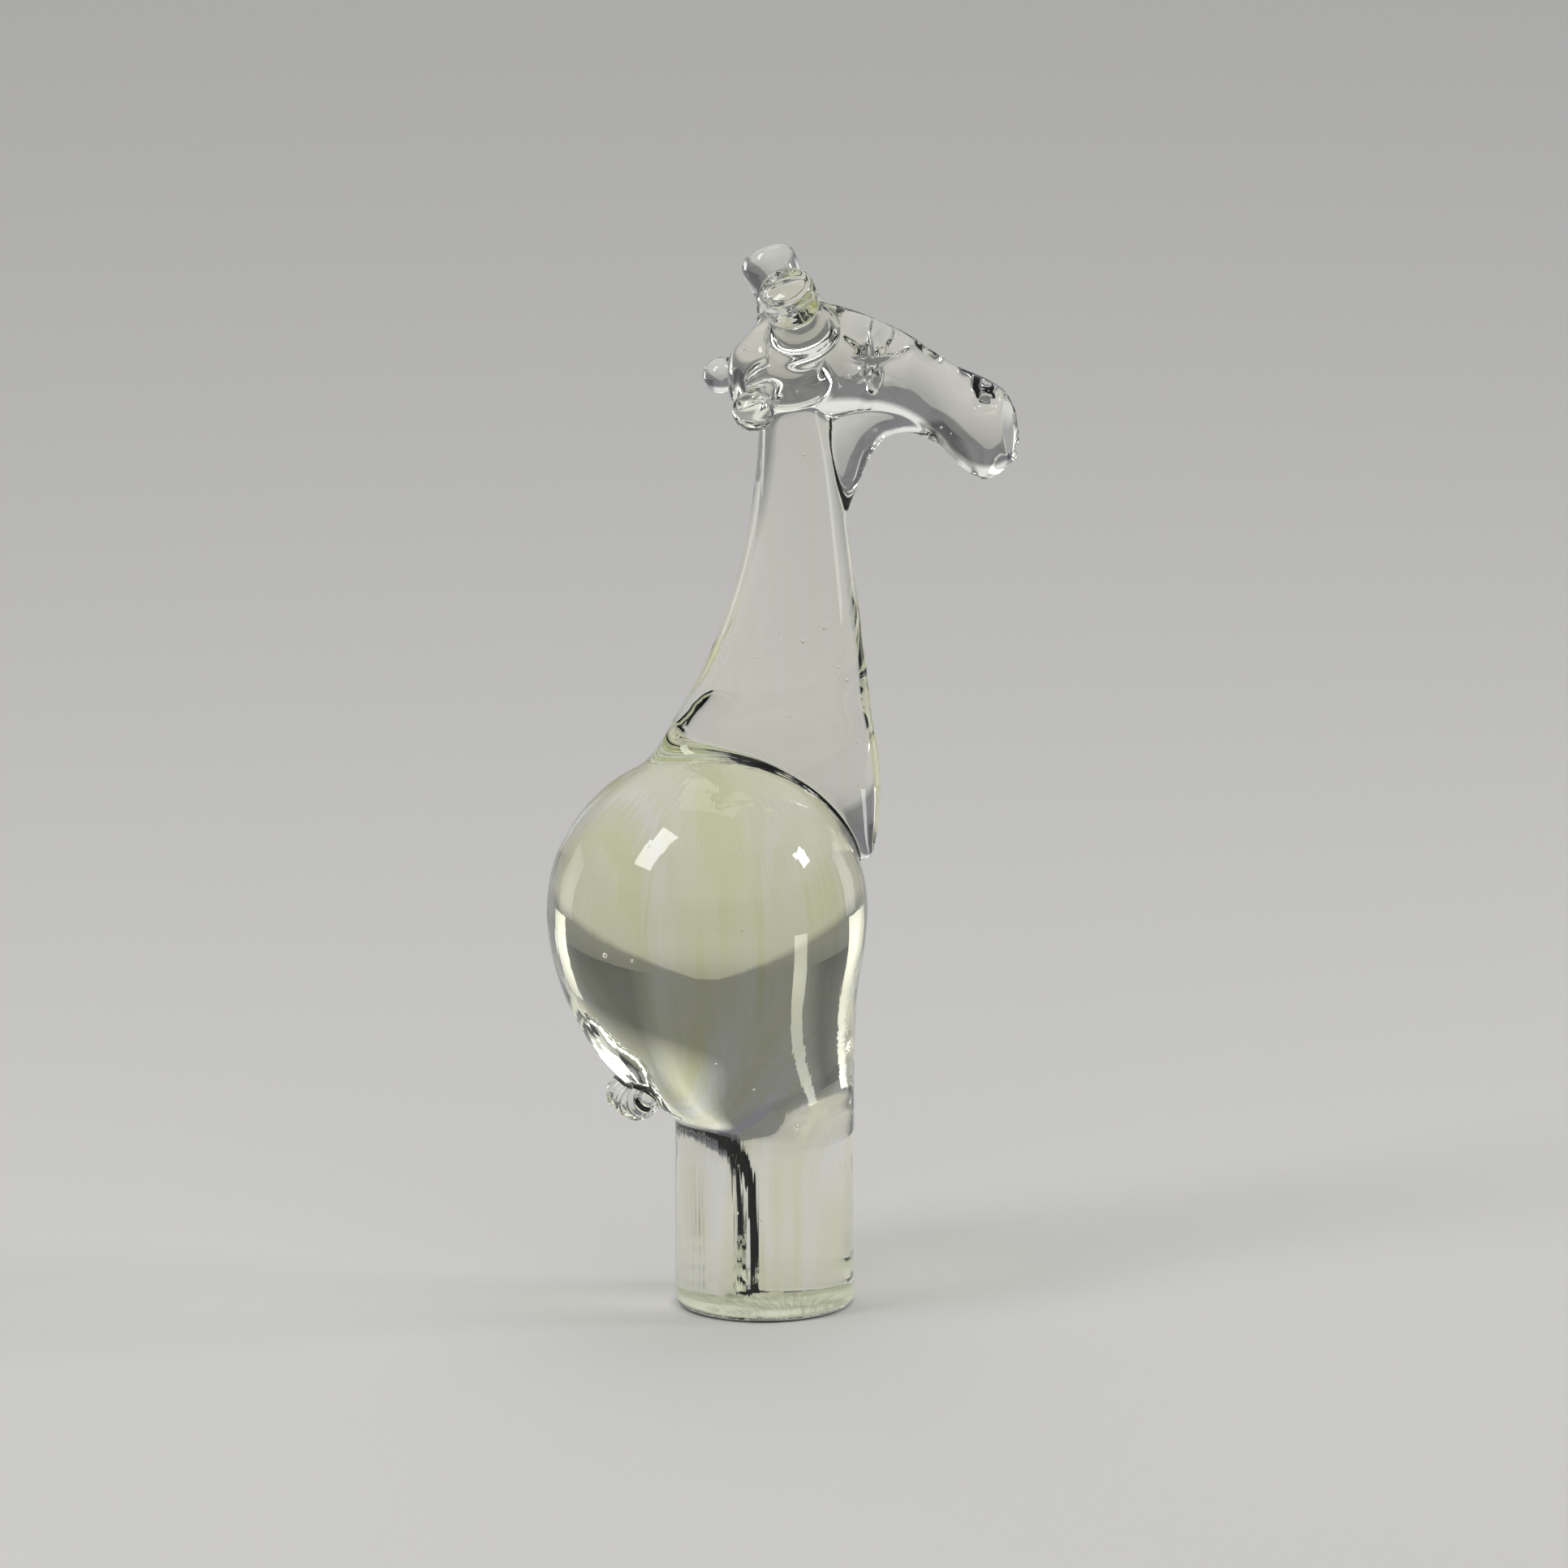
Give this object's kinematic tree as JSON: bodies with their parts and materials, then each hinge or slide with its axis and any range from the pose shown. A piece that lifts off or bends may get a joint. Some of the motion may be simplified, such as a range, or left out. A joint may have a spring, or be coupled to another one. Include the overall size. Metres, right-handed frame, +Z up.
{
  "type": "glass giraffe figurine",
  "caption": "Solid clear glass giraffe, hot-worked from fused gathers: round body drawn down to a block of legs, long neck, drooping head with horns and ball-tipped ears, ground flat foot",
  "frame": {"origin": "middle of the ground flat foot that the giraffe stands on", "axes": "+Z up, +X the way the giraffe faces, +Y to its left, away from the viewer of the picture"},
  "size_m": [0.0793, 0.0532, 0.1798],
  "materials": {
    "glass_body": "clear soda-lime glass, fire-polished, faintly yellow-green where it is thick; the foot is ground matt",
    "glass_neck": "clear soda-lime glass, fire-polished, with a few seed bubbles",
    "glass_head": "clear soda-lime glass, fire-polished, with tool marks at the eyes, nostrils and mouth",
    "glass_bits": "clear soda-lime glass bits, fire-polished, with sheared and pressed ends"
  },
  "bodies": {
    "root": {"body": "glass_body", "neck": "glass_neck", "head": "glass_head", "throat_web": "glass_head", "near_horn": "glass_bits", "far_horn": "glass_bits", "near_ear": "glass_bits", "far_ear": "glass_bits", "tail": "glass_bits"}
  },
  "joints": []
}
